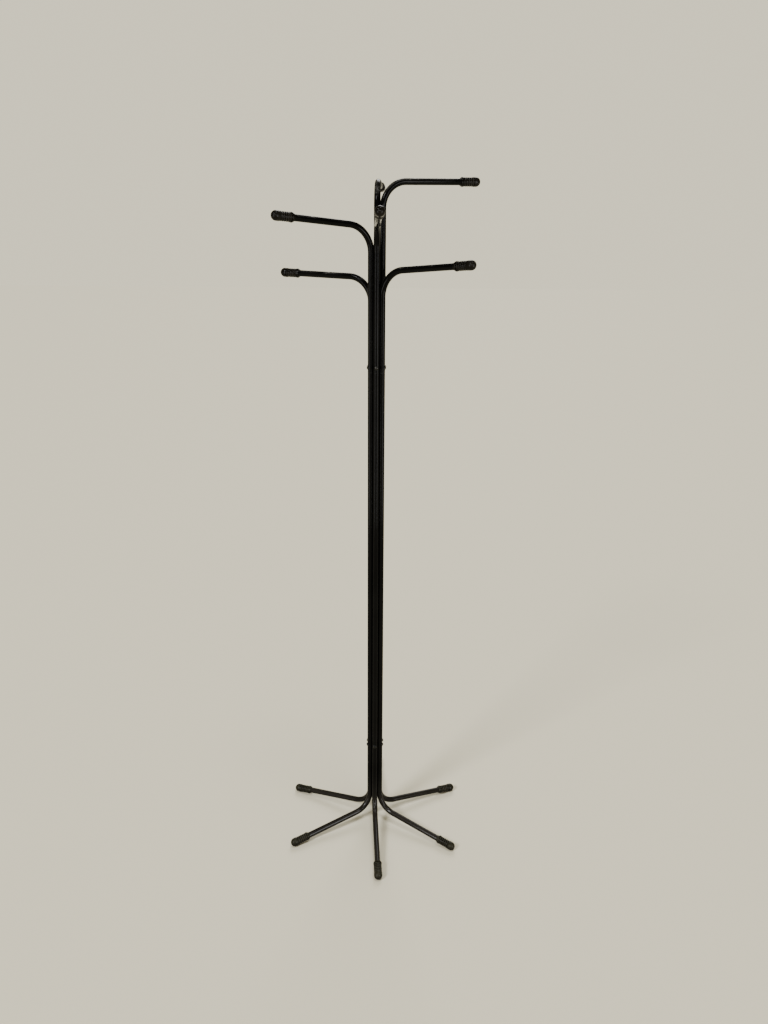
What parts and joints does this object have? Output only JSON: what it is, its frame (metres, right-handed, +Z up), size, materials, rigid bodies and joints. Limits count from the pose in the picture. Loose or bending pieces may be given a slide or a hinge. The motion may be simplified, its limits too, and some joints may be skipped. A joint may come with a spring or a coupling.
{
  "type": "standing coat rack",
  "caption": "Standing coat rack: a bundle of black steel tubes bent outwards as hooks at the top and as legs at the foot, each end in a ribbed plastic cap.",
  "frame": {"origin": "on the floor, on the post's vertical axis", "axes": "+Z up along the post, -Y towards the front tube, +X to the right"},
  "size_m": [0.48, 0.5297, 1.6968],
  "materials": {
    "gloss_black_paint": "gloss",
    "cap_plastic": "satin",
    "plain_steel": "plain",
    "blackened_steel": "gloss"
  },
  "bodies": {
    "root": {"hook_tube_front": "gloss_black_paint", "middle_tube_front": "gloss_black_paint", "leg_tube_front": "gloss_black_paint", "hook_cap_front": "cap_plastic", "foot_cap_front": "cap_plastic", "upper_spigot_front": "plain_steel", "lower_spigot_front": "plain_steel", "hook_tube_front_right": "gloss_black_paint", "middle_tube_front_right": "gloss_black_paint", "leg_tube_front_right": "gloss_black_paint", "hook_cap_front_right": "cap_plastic", "foot_cap_front_right": "cap_plastic", "upper_spigot_front_right": "plain_steel", "lower_spigot_front_right": "plain_steel", "hook_tube_back_right": "gloss_black_paint", "middle_tube_back_right": "gloss_black_paint", "leg_tube_back_right": "gloss_black_paint", "hook_cap_back_right": "cap_plastic", "foot_cap_back_right": "cap_plastic", "upper_spigot_back_right": "plain_steel", "lower_spigot_back_right": "plain_steel", "hook_tube_back": "gloss_black_paint", "middle_tube_back": "gloss_black_paint", "leg_tube_back": "gloss_black_paint", "hook_cap_back": "cap_plastic", "foot_cap_back": "cap_plastic", "upper_spigot_back": "plain_steel", "lower_spigot_back": "plain_steel", "hook_tube_back_left": "gloss_black_paint", "middle_tube_back_left": "gloss_black_paint", "leg_tube_back_left": "gloss_black_paint", "hook_cap_back_left": "cap_plastic", "foot_cap_back_left": "cap_plastic", "upper_spigot_back_left": "plain_steel", "lower_spigot_back_left": "plain_steel", "hook_tube_front_left": "gloss_black_paint", "middle_tube_front_left": "gloss_black_paint", "leg_tube_front_left": "gloss_black_paint", "hook_cap_front_left": "cap_plastic", "foot_cap_front_left": "cap_plastic", "upper_spigot_front_left": "plain_steel", "lower_spigot_front_left": "plain_steel", "upper_core_plug": "plain_steel", "upper_joint_screws": "blackened_steel", "lower_core_plug": "plain_steel", "lower_joint_screws": "blackened_steel"}
  },
  "joints": []
}
